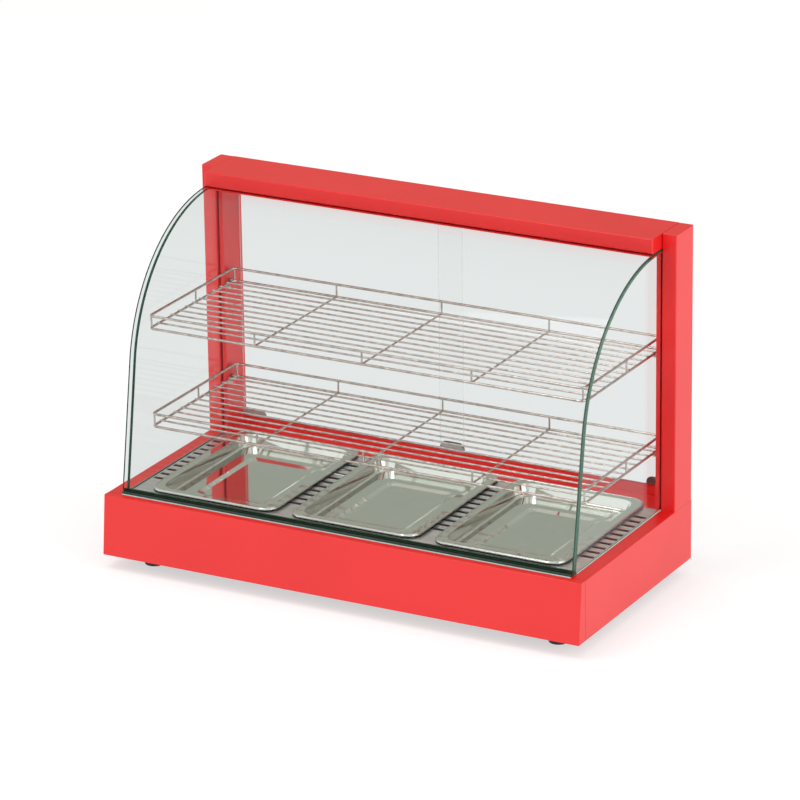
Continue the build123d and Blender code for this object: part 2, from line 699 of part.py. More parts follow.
def rack(z, name):
    """One rack: a flat grid of welded wires and a guard rail on short posts."""
    corners = (
        (-RACK_X, RACK_FRONT),
        (RACK_X, RACK_FRONT),
        (RACK_X, RACK_BACK),
        (-RACK_X, RACK_BACK),
    )
    quarter = RACK_X / 2
    long_z = z + (FRAME_WIRE + LONG_WIRE) / 2 - LONG_WIRE / 4
    with BuildPart() as grid:
        with BuildLine(Plane.XY.offset(z)) as frame_path:
            FilletPolyline(*corners, radius=RACK_BENDS, close=True)
        with BuildSketch(frame_path.line ^ 0):
            Circle(FRAME_WIRE / 2)
        sweep()
        for i in range(1, WIRE_SPACES):
            rod_x(-RACK_X, RACK_X, RACK_FRONT + i * WIRE_PITCH, long_z, LONG_WIRE / 2)
        for x in (-quarter, 0, quarter):
            rod_y(x, RACK_FRONT, RACK_BACK, z, CROSS_WIRE / 2)
    save(grid, f"{name}_grid")

    rail_z = z + GUARD_H
    bend_in = RACK_BENDS * (1 - cos(radians(45)))
    side_post_y = RACK_FRONT + (WIRE_SPACES / 2 + 0.5) * WIRE_PITCH
    posts = [(x, y) for x in (-quarter, 0, quarter) for y in (RACK_FRONT, RACK_BACK)]
    posts += [(x, side_post_y) for x in (-RACK_X, RACK_X)]
    posts += [
        (x, y)
        for x in (-RACK_X + bend_in, RACK_X - bend_in)
        for y in (RACK_FRONT + bend_in, RACK_BACK - bend_in)
    ]
    with BuildPart() as guard:
        with BuildLine(Plane.XY.offset(rail_z)) as rail_path:
            FilletPolyline(*corners, radius=RACK_BENDS, close=True)
        with BuildSketch(rail_path.line ^ 0):
            Circle(FRAME_WIRE / 2)
        sweep()
        for x, y in posts:
            rod_z(x, y, z + FRAME_WIRE / 2 + POST_GAP, rail_z, POST_WIRE / 2)
    save(guard, f"{name}_guard")


rack(RACK_LOWER_Z, "rack_lower")
rack(RACK_UPPER_Z, "rack_upper")

# Food pans


def pan_well(x, grow):
    """Solid of the pan's well, grown outward by the sheet thickness."""
    levels = (
        (0.0, 0.0, 0.0, PAN_WELL_R),
        (PAN_STEP + grow, PAN_STEP_IN, PAN_STEP_IN, PAN_WELL_R),
        (PAN_BEAD + grow, PAN_BEAD_IN, PAN_BEAD_IN + PAN_SLOPE_Y - PAN_SLOPE_X, PAN_FLOOR_R),
        (PAN_DEPTH + grow, PAN_SLOPE_X, PAN_SLOPE_Y, PAN_FLOOR_R),
    )
    with BuildPart() as well:
        sections = []
        for drop, in_x, in_y, corner in levels:
            with BuildSketch(Plane.XY.offset(Z_RIM - drop)) as section:
                with Locations((x, PAN_Y)):
                    RectangleRounded(MOUTH_W - 2 * in_x + 2 * grow,
                                     MOUTH_L - 2 * in_y + 2 * grow, corner)
            sections.append(section.sketch)
        for upper, lower in zip(sections, sections[1:]):
            loft([upper, lower], ruled=True)
        for drop, radius in ((PAN_STEP, PAN_STEP_R), (PAN_BEAD, PAN_BEAD_R)):
            level = Z_RIM - drop - grow
            around = well.edges().filter_by(lambda e: abs(e.center().Z - level) < 0.01)
            fillet(around, radius=radius)
    return well.part


def pan(x, name):
    """Food pan: rolled rim, steep upper wall and gently dished floor."""
    with BuildPart() as body:
        with BuildSketch(Plane.XY.offset(Z_DECK)):
            with Locations((x, PAN_Y)):
                RectangleRounded(PAN_W, PAN_L, PAN_CORNER)
        extrude(amount=PAN_RIM_H)
        rim_top = body.edges().group_by(Axis.Z)[-1]
        fillet(rim_top, radius=PAN_LIP)
        with BuildSketch(Plane.XY.offset(Z_DECK)):
            with Locations((x, PAN_Y)):
                RectangleRounded(PAN_W - 2 * PAN_LIP, PAN_L - 2 * PAN_LIP, PAN_CORNER - PAN_LIP)
        extrude(amount=PAN_RIM_H - PAN_LIP, mode=Mode.SUBTRACT)
        add(pan_well(x, PAN_T))
        add(pan_well(x, 0), mode=Mode.SUBTRACT)
    save(body, name)


for x, word in zip(PAN_XS, ("left", "centre", "right")):
    pan(x, f"pan_{word}")

# Heating under the deck

with BuildPart() as heat_shield:
    slab(-SHIELD_X, SHIELD_X, -SHIELD_Y, SHIELD_Y, SHIELD_Z, SHIELD_Z + SHEET)
    for side in (-1, 1):
        slab(-SHIELD_X, SHIELD_X, side * (SHIELD_Y - SHEET), side * SHIELD_Y,
             SHIELD_Z + SHEET, SHIELD_Z + SHEET + UPSTAND_H)
save(heat_shield, "heat_shield")

with BuildPart() as shield_spacers:
    for x in (-SPACER_X, SPACER_X):
        for y in (-SPACER_Y, SPACER_Y):
            rod_z(x, y, Z_BASE + 2 * SHEET, SHIELD_Z, SPACER_R)
save(shield_spacers, "shield_spacers")


def element(mid_y, name):
    """Hairpin heating tube: two long legs joined by a bend at the left."""
    with BuildPart() as tube:
        with BuildLine(Plane.XY.offset(ELEMENT_Z)) as path:
            near = mid_y - ELEMENT_BEND
            far = mid_y + ELEMENT_BEND
            Line((ELEMENT_RIGHT, near), (ELEMENT_LEFT, near))
            ThreePointArc((ELEMENT_LEFT, near), (ELEMENT_LEFT - ELEMENT_BEND, mid_y),
                          (ELEMENT_LEFT, far))
            Line((ELEMENT_LEFT, far), (ELEMENT_RIGHT, far))
        with BuildSketch(path.line ^ 0):
            Circle(ELEMENT_D / 2)
        sweep()
    save(tube, name)


element(ELEMENT_MIDS[0], "element_front")
element(ELEMENT_MIDS[1], "element_rear")


def element_plate(x):
    """Upright plate with four holes that the tubes pass through."""
    foot = SHIELD_Z + SHEET
    slab(x, x + SADDLE_T, SADDLE_FRONT, SADDLE_BACK, foot, foot + SADDLE_H)
    for mid_y in ELEMENT_MIDS:
        for y in (mid_y - ELEMENT_BEND, mid_y + ELEMENT_BEND):
            rod_x(x, x + SADDLE_T, y, ELEMENT_Z, ELEMENT_D / 2 + SEAT, mode=Mode.SUBTRACT)


with BuildPart() as element_saddles:
    for x in SADDLE_XS:
        element_plate(x)
save(element_saddles, "element_saddles")

with BuildPart() as element_bracket:
    element_plate(BRACKET_X)
save(element_bracket, "element_bracket")

# Controls, recessed in the back of the base

BUSH_R = 5.0
SWITCH_W = 20.0
SWITCH_H = 30.0
SWITCH_D = 20.0
BEZEL_LAP = 2.0
BEZEL_T = 2.0
POCKET_W = 17.0
POCKET_H = 26.0
POCKET_D = 7.0
PILOT_R = 6.0
GLAND_R = 8.0

with BuildPart() as control_recess:
    front = HALF_D - SHEET - RECESS_DEPTH - SHEET
    back = HALF_D - SHEET
    slab(RECESS_X0 - SHEET, RECESS_X1 + SHEET, front, back, RECESS_Z0 - SHEET, RECESS_Z1 + SHEET)
    slab(RECESS_X0 - SHEET - RECESS_FLANGE, RECESS_X1 + SHEET + RECESS_FLANGE, back - SHEET, back,
         RECESS_Z0 - SHEET - RECESS_FLANGE, RECESS_Z1 + SHEET + RECESS_FLANGE)
    slab(RECESS_X0, RECESS_X1, FLOOR_Y, back, RECESS_Z0, RECESS_Z1, mode=Mode.SUBTRACT)
    rod_y(THERMOSTAT_X, front, FLOOR_Y, CONTROL_Z, BUSH_R + SEAT, mode=Mode.SUBTRACT)
    rod_y(PILOT_X, front, FLOOR_Y, CONTROL_Z, PILOT_R + SEAT, mode=Mode.SUBTRACT)
    rod_y(GLAND_X, front, FLOOR_Y, CONTROL_Z, GLAND_R + SEAT, mode=Mode.SUBTRACT)
    for x in (POWER_X, LAMP_SWITCH_X):
        slab(x - SWITCH_W / 2 - SEAT, x + SWITCH_W / 2 + SEAT, front, FLOOR_Y,
             CONTROL_Z - SWITCH_H / 2 - SEAT, CONTROL_Z + SWITCH_H / 2 + SEAT, mode=Mode.SUBTRACT)
save(control_recess, "control_recess")

THERMOSTAT_SIZE = 46.0
THERMOSTAT_D = 30.0
BUSH_L = 5.0

with BuildPart() as thermostat_body:
    back = FLOOR_Y - SHEET
    half = THERMOSTAT_SIZE / 2
    slab(THERMOSTAT_X - half, THERMOSTAT_X + half, back - THERMOSTAT_D, back,
         CONTROL_Z - half, CONTROL_Z + half)
    fillet(thermostat_body.edges().filter_by(Axis.Y), radius=2 * CORNER_R)
    rod_y(THERMOSTAT_X, back, FLOOR_Y + BUSH_L / 2, CONTROL_Z, BUSH_R)
    rod_y(THERMOSTAT_X, back - 2 * BUSH_L, FLOOR_Y + BUSH_L / 2, CONTROL_Z, SHAFT_R + SHAFT_FIT,
          mode=Mode.SUBTRACT)
save(thermostat_body, "thermostat_body")

KNOB_Y = FLOOR_Y + BUSH_L / 2 + SEAT
SKIRT_T = 3.0
SHAFT_IN_KNOB = 11.0

with BuildPart() as thermostat_shaft:
    rod_y(THERMOSTAT_X, FLOOR_Y - SHEET - 2 * BUSH_L + SEAT, KNOB_Y + SHAFT_IN_KNOB, CONTROL_Z,
          SHAFT_R)
save(thermostat_shaft, "thermostat_shaft")

with BuildPart() as thermostat_knob:
    rod_y(THERMOSTAT_X, KNOB_Y, KNOB_Y + SKIRT_T, CONTROL_Z, KNOB_R)
    rod_y(THERMOSTAT_X, KNOB_Y + SKIRT_T, KNOB_Y + KNOB_H, CONTROL_Z, KNOB_GRIP_R)
    fillet(thermostat_knob.faces().sort_by(Axis.Y)[-1].edges(), radius=CORNER_R)
    # A raised bar across the grip shows where the knob points
    slab(THERMOSTAT_X - 2 * SHEET, THERMOSTAT_X + 2 * SHEET, KNOB_Y + SKIRT_T,
         KNOB_Y + KNOB_H + SHEET, CONTROL_Z - KNOB_GRIP_R, CONTROL_Z + KNOB_R - SHEET)
    rod_y(THERMOSTAT_X, KNOB_Y, KNOB_Y + SHAFT_IN_KNOB + SEAT, CONTROL_Z, SHAFT_R + SHAFT_FIT,
          mode=Mode.SUBTRACT)
save(thermostat_knob, "thermostat_knob")

PIVOT_Y = FLOOR_Y - SHEET / 2
PIVOT_R = 1.5
PIVOT_L = 0.9
PIVOT_FIT = 0.08


def switch_body(x, name):
    """Switch housing through the tray's floor, with a bezel and a pocket."""
    with BuildPart() as body:
        slab(x - SWITCH_W / 2, x + SWITCH_W / 2, FLOOR_Y - SWITCH_D, FLOOR_Y,
             CONTROL_Z - SWITCH_H / 2, CONTROL_Z + SWITCH_H / 2)
        slab(x - SWITCH_W / 2 - BEZEL_LAP, x + SWITCH_W / 2 + BEZEL_LAP, FLOOR_Y,
             FLOOR_Y + BEZEL_T, CONTROL_Z - SWITCH_H / 2 - BEZEL_LAP,
             CONTROL_Z + SWITCH_H / 2 + BEZEL_LAP)
        slab(x - POCKET_W / 2, x + POCKET_W / 2, PIVOT_Y - POCKET_D, FLOOR_Y + BEZEL_T,
             CONTROL_Z - POCKET_H / 2, CONTROL_Z + POCKET_H / 2, mode=Mode.SUBTRACT)
        rod_x(x - POCKET_W / 2 - PIVOT_L, x + POCKET_W / 2 + PIVOT_L, PIVOT_Y, CONTROL_Z,
              PIVOT_R + PIVOT_FIT, mode=Mode.SUBTRACT)
    save(body, name)


def rocker(x, name):
    """Rocker with two faces that meet over its pivot, tilted to off."""
    shape = (
        (ROCKER_FACE, -ROCKER_H / 2),
        (ROCKER_WAIST, 0.0),
        (ROCKER_FACE, ROCKER_H / 2),
        (-ROCKER_BACK, ROCKER_H / 2 - ROCKER_BACK),
        (-ROCKER_BACK, ROCKER_BACK - ROCKER_H / 2),
    )
    tilt = radians(ROCKER_TILT)
    points = [
        (PIVOT_Y + y * cos(tilt) - z * sin(tilt), CONTROL_Z + y * sin(tilt) + z * cos(tilt))
        for y, z in shape
    ]
    with BuildPart() as key:
        with BuildSketch(Plane.YZ.offset(x - ROCKER_W / 2)):
            with BuildLine():
                Polyline(*points, close=True)
            make_face()
        extrude(amount=ROCKER_W)
        rod_x(x - POCKET_W / 2 - PIVOT_L + PIVOT_FIT, x + POCKET_W / 2 + PIVOT_L - PIVOT_FIT,
              PIVOT_Y, CONTROL_Z, PIVOT_R)
    save(key, name)


for x, word in ((POWER_X, "power"), (LAMP_SWITCH_X, "lamp")):
    switch_body(x, f"{word}_switch_body")
    rocker(x, f"{word}_rocker")

with BuildPart() as pilot_lamp:
    rod_y(PILOT_X, FLOOR_Y - SWITCH_D, FLOOR_Y, CONTROL_Z, PILOT_R)
    rod_y(PILOT_X, FLOOR_Y, FLOOR_Y + 2 * BEZEL_T, CONTROL_Z, PILOT_R + BEZEL_LAP)
    fillet(pilot_lamp.faces().sort_by(Axis.Y)[-1].edges(), radius=1.5 * BEZEL_T)
save(pilot_lamp, "pilot_lamp")

GLAND_NUT_R = 11.0
GLAND_OUT = 14.0
CORD_R = 3.6

with BuildPart() as cable_gland:
    rod_y(GLAND_X, FLOOR_Y - SHEET, FLOOR_Y, CONTROL_Z, GLAND_R)
    for y in (FLOOR_Y - 3 * SHEET, FLOOR_Y):
        with BuildSketch(Plane.XZ.offset(-y)):
            with Locations((GLAND_X, CONTROL_Z)):
                RegularPolygon(GLAND_NUT_R, 6)
        extrude(amount=-2 * SHEET)
    rod_y(GLAND_X, FLOOR_Y + 2 * SHEET, FLOOR_Y + GLAND_OUT, CONTROL_Z, GLAND_R)
    fillet(cable_gland.faces().sort_by(Axis.Y)[-1].edges(), radius=1.5 * SHEET)
    rod_y(GLAND_X, FLOOR_Y - 3 * SHEET, FLOOR_Y + GLAND_OUT, CONTROL_Z, CORD_R,
          mode=Mode.SUBTRACT)
save(cable_gland, "cable_gland")

BLOCK_X = GLAND_X - 12.0
BLOCK_Y = HALF_D - 49.0
BLOCK_POLES = 3
BLOCK_PITCH = 16.0
BLOCK_D = 20.0
BLOCK_H = 18.0

with BuildPart() as terminal_block:
    z_seat = Z_BASE + 2 * SHEET
    block_half = BLOCK_POLES * BLOCK_PITCH / 2
    slab(BLOCK_X - block_half, BLOCK_X + block_half, BLOCK_Y - BLOCK_D / 2, BLOCK_Y + BLOCK_D / 2,
         z_seat, z_seat + BLOCK_H)
    for i in range(BLOCK_POLES):
        x = BLOCK_X + (i - (BLOCK_POLES - 1) / 2) * BLOCK_PITCH
        rod_y(x, BLOCK_Y - BLOCK_D / 2, BLOCK_Y + BLOCK_D / 2, z_seat + BLOCK_H / 3,
              BLOCK_PITCH / 5, mode=Mode.SUBTRACT)
        rod_z(x, BLOCK_Y, z_seat + BLOCK_H / 2, z_seat + BLOCK_H, BLOCK_PITCH / 5,
              mode=Mode.SUBTRACT)
save(terminal_block, "terminal_block")

# Feet and their screws

FOOT_TOP = Z_BASE + SHEET
FOOT_WELL_R = 6.5
FOOT_WELL_H = 16.0
NUT_R = 4.0
NUT_T = 3.2
HEAD_H = 3.0


def foot(x, y, name):
    """Rubber foot with a well for its screw, standing on the counter."""
    with BuildPart() as rubber:
        with Locations((x, y, FOOT_TOP / 2)):
            Cone(FOOT_R, FOOT_TOP_R, FOOT_TOP)
        fillet(rubber.edges().group_by(Axis.Z)[0], radius=CORNER_R)
        rod_z(x, y, 0, FOOT_WELL_H, FOOT_WELL_R, mode=Mode.SUBTRACT)
        rod_z(x, y, FOOT_WELL_H, FOOT_TOP, SCREW_R + SEAT, mode=Mode.SUBTRACT)
    save(rubber, name)


for x, x_word in ((-FOOT_X, "left"), (FOOT_X, "right")):
    for y, y_word in ((-FOOT_Y, "front"), (FOOT_Y, "rear")):
        foot(x, y, f"foot_{y_word}_{x_word}")

with BuildPart() as foot_screws:
    for x in (-FOOT_X, FOOT_X):
        for y in (-FOOT_Y, FOOT_Y):
            nut_top = FOOT_TOP + SHEET + NUT_T
            rod_z(x, y, FOOT_WELL_H - HEAD_H, FOOT_WELL_H, SCREW_HEAD_R)
            rod_z(x, y, FOOT_WELL_H, nut_top + SHEET, SCREW_R)
            rod_z(x, y, FOOT_TOP + SHEET, nut_top, NUT_R)
save(foot_screws, "foot_screws")
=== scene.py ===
import math

import bmesh
import bpy
from mathutils import Matrix, Vector


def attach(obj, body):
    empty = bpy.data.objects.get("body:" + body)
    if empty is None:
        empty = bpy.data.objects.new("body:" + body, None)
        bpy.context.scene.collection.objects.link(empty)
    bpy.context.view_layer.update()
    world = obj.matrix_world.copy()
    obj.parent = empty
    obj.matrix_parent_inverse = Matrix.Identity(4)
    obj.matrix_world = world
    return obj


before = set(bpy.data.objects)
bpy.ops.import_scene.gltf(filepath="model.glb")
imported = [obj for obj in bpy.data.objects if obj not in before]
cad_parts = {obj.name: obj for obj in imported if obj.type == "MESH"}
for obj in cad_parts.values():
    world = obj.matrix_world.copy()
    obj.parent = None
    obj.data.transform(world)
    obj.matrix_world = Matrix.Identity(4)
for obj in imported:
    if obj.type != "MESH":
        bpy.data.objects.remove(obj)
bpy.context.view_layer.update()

# Camera of the photograph: angles in degrees, places in metres
VIEW_AZIMUTH = 28.47
VIEW_ELEVATION = 20.03
VIEW_ROLL = -0.78
VIEW_DISTANCE = 8.2121
VIEW_TARGET = (0.01165, 0.0, 0.30887)
VIEW_REACH = 100.0
SENSOR_MM = 36.0
LENS_MM = 221.05

# Colours as linear red, green and blue: a pair goes from the darker to the lighter tone
RED_PAINT = ((0.75, 0.007, 0.007), (0.79, 0.010, 0.009))
STEEL = ((0.75, 0.745, 0.74), (0.87, 0.865, 0.86))
SHADED_STEEL = ((0.035, 0.034, 0.033), (0.060, 0.058, 0.055))
# Faint green in the pan steel: painted reflection of the green-tinted glass
POLISHED_STEEL = ((0.76, 0.79, 0.73), (0.79, 0.82, 0.76))
# Painted shade on the pans: darker grey on steep sides, near-black on faces that look down and on low
# upright faces under the rim
PAN_WALL_SHADE = (0.40, 0.375, 0.33)
PAN_UNDER_SHADE = (0.030, 0.028, 0.026)
# Pink-brown cast of the wire tones: painted reflection of the red cabinet
WIRE = ((0.44, 0.37, 0.33), (0.66, 0.60, 0.56))
HEATER_SHEATH = ((0.16, 0.13, 0.11), (0.30, 0.27, 0.24))
PANE_TINT = (0.965, 0.975, 0.970)
DOOR_TINT = (0.980, 0.985, 0.982)
EDGE_DARK = (0.018, 0.060, 0.036)
# Right pane's ground edges: a lighter copy of the dark edge green, painted light on the side that
# faces the key lamp
EDGE_LIT = (0.130, 0.215, 0.165)
EDGE_DOOR = (0.74, 0.77, 0.76)
LIP_GREEN = (0.030, 0.072, 0.042)
# Gasket under the curled lip: near-black green, painted shade where the curl hides the deck
GASKET_SHADE = ((0.008, 0.020, 0.012), (0.014, 0.032, 0.020))
# Sealant beads at the foot of the glass: pale cyan, a painted highlight along the glass's lower edge
SEALANT_HIGHLIGHT = ((0.38, 0.62, 0.55), (0.48, 0.72, 0.65))
SILICONE = ((0.30, 0.33, 0.31), (0.38, 0.41, 0.39))
CLEAR_PLASTIC = ((0.50, 0.50, 0.49), (0.60, 0.60, 0.59))
FROSTED_PLASTIC = ((0.78, 0.80, 0.79), (0.86, 0.87, 0.86))
WHITE_PLASTIC = ((0.72, 0.72, 0.69), (0.80, 0.80, 0.77))
BLACK_PLASTIC = ((0.015, 0.015, 0.016), (0.030, 0.030, 0.032))
SWITCH_RED = ((0.45, 0.010, 0.008), (0.60, 0.020, 0.012))
FOOT_RUBBER = ((0.012, 0.012, 0.013), (0.030, 0.030, 0.031))
FLOOR_GREY = ((0.49, 0.49, 0.49), (0.51, 0.51, 0.51))
SEEN_THROUGH = (0.818, 0.835, 0.838)
STUDIO_WHITE = (1.0, 1.0, 1.0)
STUDIO_GREEN = (0.97, 1.0, 0.89)

# Surfaces
TONE_LIMITS = (0.35, 0.65)
BUMP_DEPTH = 0.0002
EVEN = (1.0, 1.0, 1.0)
DRAWN_ALONG_X = (0.02, 1.0, 1.0)
PAINT_GLOSS = 0.62
GLASS_IOR = 1.18
DOOR_IOR = 1.08
EDGE_TOOTH = 0.8
ALONG = 0.9
ACROSS = 0.5
LIP_TOP = 0.1385
# Limits of the painted shade on the pans: height of the shaded rim band, faces that look down,
# upright faces, steep sides
RIM_SHADE = 0.1346
FACES_DOWN = -0.02
SKIRT_RISE = 0.25
WALL_SHARE = 0.8
UNDERSIDE_ROUGHNESS = 0.5

# Gasket and sealant round the glass: the gasket's dark green is painted shade, the sealant's pale
# cyan a painted highlight
GLASS_END = 0.4234
DECK_TOP = 0.13105
LIP_CENTRE = (-0.1751, 0.1420)
LIP_CLEAR = 0.0103
LIP_ANGLES = (38, 50, 62, 74)
GASKET_FRONT = [(-0.1884, DECK_TOP), (-0.1884, 0.1335), (-0.1868, 0.1360)]
GASKET_REAR = -0.1775
FRONT_SEALANT = [(-0.1899, DECK_TOP), (-0.1896, 0.1320), (-0.1889, 0.1323),
                 (-0.1885, 0.1320), (-0.1885, DECK_TOP)]
SIDE_SEALANT = [(0.42373, DECK_TOP), (0.42373, 0.1322), (0.4243, 0.1320), (0.4250, DECK_TOP)]
SIDE_SEALANT_ENDS = (-0.169, 0.1475)

# Marks on the controls
CONTROL_FLOOR = 0.188
CONTROL_HEIGHT = 0.082
MARK_LIFT = 0.0004
MARK_SUNK = 0.0001
KNOB_X = 0.178
KNOB_FACE = 0.2078
KNOB_LINE = (-0.0009, 0.0009, 0.005, 0.0182)
SCALE_R = 0.0226
SCALE_START = 25.0
SCALE_SWEEP = 245.0
SCALE_THIN = 0.0006
SCALE_GROWTH = 0.0030
SCALE_STEPS = 60
OFF_RING = (0.0, 0.0248, 0.0011, 0.0018)
SWITCHES = (("power", 0.238), ("lamp", 0.274))
PIVOT_Y = 0.187
ROCKER_LEAN = math.radians(8.0)
ROCKER_WAIST = 0.0020
ROCKER_RISE = 0.0016
ROCKER_HALF = 0.012
MARK_SHARE = 0.55
ON_BAR = (-0.0005, 0.0005, -0.0026, 0.0026)
OFF_LOOP = (0.0, 0.0, 0.0018, 0.0026)
RING_STEPS = 24
SEEN_FROM_BEHIND = (-1.0, 0.0, 0.0)
UPWARD = (0.0, 0.0, 1.0)

# Rolled edges of the pans
PANS = (("left", -0.27), ("centre", 0.0), ("right", 0.27))
PAN_HALF_W = 0.1215
PAN_HALF_L = 0.1625
PAN_MIDDLE_Y = 0.0045
PAN_CORNER = 0.030
RIM_TOP = 0.137
EDGE_IN = 0.0029
EDGE_SUNK = 0.0003
EDGE_R = 0.0010
EDGE_SIDES = 10
CORNER_STEPS = 12
CORNERS = ((1, 1), (-1, 1), (-1, -1), (1, -1))

# Studio
FLOOR_SIZE = 60.0
FLOOR_DROP = 0.0005
FLOOR_GLOW = 0.56
SKY_BRIGHT = 1.02
SKY_DIM = 0.40
LEFT_PATCH = ((-0.44, 0.82, 0.36), 0.45, 0.95)
RIGHT_PATCH = ((0.37, 0.83, 0.42), 0.80, 0.97)


def new_material(name):
    """Empty node material: the material, its nodes, its links and its shader."""
    mat = bpy.data.materials.new(name)
    mat.use_nodes = True
    tree = mat.node_tree
    return mat, tree.nodes, tree.links, tree.nodes["Principled BSDF"]


def object_noise(nodes, links, scale, detail, stretch=EVEN):
    """Noise in the object's own metres, stretched along the axes."""
    place = nodes.new("ShaderNodeTexCoord")
    mapping = nodes.new("ShaderNodeMapping")
    mapping.inputs["Scale"].default_value = stretch
    noise = nodes.new("ShaderNodeTexNoise")
    noise.inputs["Scale"].default_value = scale
    noise.inputs["Detail"].default_value = detail
    links.new(place.outputs["Object"], mapping.inputs["Vector"])
    links.new(mapping.outputs["Vector"], noise.inputs["Vector"])
    return noise.outputs["Fac"]


def two_tone(nodes, links, factor, tones):
    """Colour that moves between two tones with a factor."""
    ramp = nodes.new("ShaderNodeValToRGB")
    for stop, position, tone in zip(ramp.color_ramp.elements, TONE_LIMITS, tones):
        stop.position = position
        stop.color = (*tone, 1.0)
    links.new(factor, ramp.inputs["Fac"])
    return ramp.outputs["Color"]


def span(nodes, links, factor, low, high):
    """Number that moves between two limits with a factor."""
    reach = nodes.new("ShaderNodeMapRange")
    reach.inputs["To Min"].default_value = low
    reach.inputs["To Max"].default_value = high
    links.new(factor, reach.inputs["Value"])
    return reach.outputs["Result"]


def bump(nodes, links, height, strength):
    """Normal from a height."""
    node = nodes.new("ShaderNodeBump")
    node.inputs["Strength"].default_value = strength
    node.inputs["Distance"].default_value = BUMP_DEPTH
    links.new(height, node.inputs["Height"])
    return node.outputs["Normal"]


def math_node(nodes, links, operation, first, second):
    """One number worked out from two others."""
    node = nodes.new("ShaderNodeMath")
    node.operation = operation
    for socket, value in zip(node.inputs, (first, second)):
        if isinstance(value, float):
            socket.default_value = value
        else:
            links.new(value, socket)
    return node.outputs[0]


def mix_colour(nodes, links, factor, first, second):
    """Blend of two colours by a factor."""
    node = nodes.new("ShaderNodeMix")
    node.data_type = "RGBA"
    links.new(factor, node.inputs["Factor"])
    for socket, value in zip((node.inputs[6], node.inputs[7]), (first, second)):
        if isinstance(value, tuple):
            socket.default_value = (*value, 1.0)
        else:
            links.new(value, socket)
    return node.outputs[2]


def normal_part(nodes, links, axis):
    """One coordinate of the direction that a face looks in."""
    place = nodes.new("ShaderNodeNewGeometry")
    parts = nodes.new("ShaderNodeSeparateXYZ")
    links.new(place.outputs["True Normal"], parts.inputs[0])
    return parts.outputs[axis]


def face_share(nodes, links, axis):
    """How squarely a face looks along one axis, from 0 to 1."""
    return math_node(nodes, links, "ABSOLUTE", normal_part(nodes, links, axis), 0.0)


def object_height(nodes, links):
    """Height of a point in the object's own metres."""
    place = nodes.new("ShaderNodeTexCoord")
    parts = nodes.new("ShaderNodeSeparateXYZ")
    links.new(place.outputs["Object"], parts.inputs[0])
    return parts.outputs[2]


def paint(name, tones):
    """Smooth powder coat with a faint orange-peel skin."""
    mat, nodes, links, shader = new_material(name)
    broad = object_noise(nodes, links, scale=5.0, detail=2.0)
    peel = object_noise(nodes, links, scale=900.0, detail=1.0)
    links.new(two_tone(nodes, links, broad, tones), shader.inputs["Base Color"])
    links.new(span(nodes, links, peel, low=0.30, high=0.36), shader.inputs["Roughness"])
    links.new(bump(nodes, links, peel, strength=0.05), shader.inputs["Normal"])
    shader.inputs["Specular IOR Level"].default_value = PAINT_GLOSS
    return mat


def metal(name, tones, smooth, rough, grain, stretch=EVEN, grooves=None):
    """Bare metal, plain or with a drawn grain that stands in fine grooves."""
    mat, nodes, links, shader = new_material(name)
    lines = object_noise(nodes, links, grain, 3.0, stretch)
    links.new(two_tone(nodes, links, lines, tones), shader.inputs["Base Color"])
    links.new(span(nodes, links, lines, smooth, rough), shader.inputs["Roughness"])
    if grooves:
        links.new(bump(nodes, links, lines, grooves), shader.inputs["Normal"])
    shader.inputs["Metallic"].default_value = 1.0
    return mat


def pan_metal(name, tones):
    """Mirror-bright sheet with painted shade: darker side walls, and near-black faces that look down
    or stand low under the rim.
    """
    mat, nodes, links, shader = new_material(name)
    grain = object_noise(nodes, links, scale=55.0, detail=3.0)
    # Painted shade: faces that look down and low upright faces under the rim turn near-black, steep
    # sides across X turn darker grey
    rise = normal_part(nodes, links, 2)
    down = math_node(nodes, links, "LESS_THAN", rise, FACES_DOWN)
    upright = math_node(nodes, links, "LESS_THAN", rise, SKIRT_RISE)
    low = math_node(nodes, links, "LESS_THAN", object_height(nodes, links), RIM_SHADE)
    skirt_shade = math_node(nodes, links, "MULTIPLY", upright, low)
    under = math_node(nodes, links, "MAXIMUM", down, skirt_shade)
    wall_shade = math_node(nodes, links, "GREATER_THAN", face_share(nodes, links, 0), WALL_SHARE)
    bright = two_tone(nodes, links, grain, tones)
    inside = mix_colour(nodes, links, wall_shade, bright, PAN_WALL_SHADE)
    colour = mix_colour(nodes, links, under, inside, PAN_UNDER_SHADE)
    worn = span(nodes, links, grain, low=0.045, high=0.075)
    dull = math_node(nodes, links, "MULTIPLY", under, UNDERSIDE_ROUGHNESS)
    links.new(colour, shader.inputs["Base Color"])
    links.new(math_node(nodes, links, "MAXIMUM", worn, dull), shader.inputs["Roughness"])
    shader.inputs["Metallic"].default_value = 1.0
    return mat


def plastic(name, tones, smooth, rough, grain, clear=0.0):
    """Moulded plastic or rubber with a fine tooth."""
    mat, nodes, links, shader = new_material(name)
    tooth = object_noise(nodes, links, grain, detail=2.0)
    links.new(two_tone(nodes, links, tooth, tones), shader.inputs["Base Color"])
    links.new(span(nodes, links, tooth, smooth, rough), shader.inputs["Roughness"])
    links.new(bump(nodes, links, tooth, strength=0.1), shader.inputs["Normal"])
    shader.inputs["Transmission Weight"].default_value = clear
    return mat


